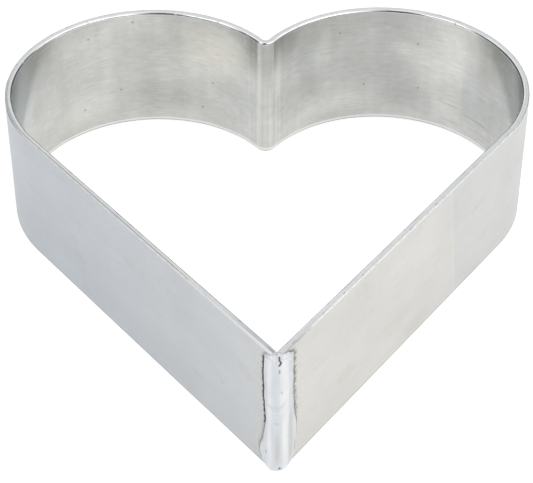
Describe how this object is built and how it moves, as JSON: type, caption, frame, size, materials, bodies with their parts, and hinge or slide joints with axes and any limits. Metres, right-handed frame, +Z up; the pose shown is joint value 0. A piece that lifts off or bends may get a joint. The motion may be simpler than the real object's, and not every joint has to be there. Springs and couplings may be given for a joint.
{
  "type": "heart cake ring",
  "caption": "Open heart-shaped ring of bent aluminium strip, closed by a weld at the point, for moulding, cutting or baking cakes and mousses.",
  "frame": {"origin": "under the middle of the ring's bounding box, on the surface that it stands on", "axes": "+X across the two lobes, +Y from the welded point towards the cleft, +Z up"},
  "size_m": [0.15, 0.1542, 0.04],
  "materials": {
    "band": "mill finish with fine rolling lines inside, satin outside",
    "weld": "bright weld metal with ripples and a sooty toe"
  },
  "bodies": {
    "root": {"heart_band": "band", "weld_bead": "weld"}
  },
  "joints": []
}
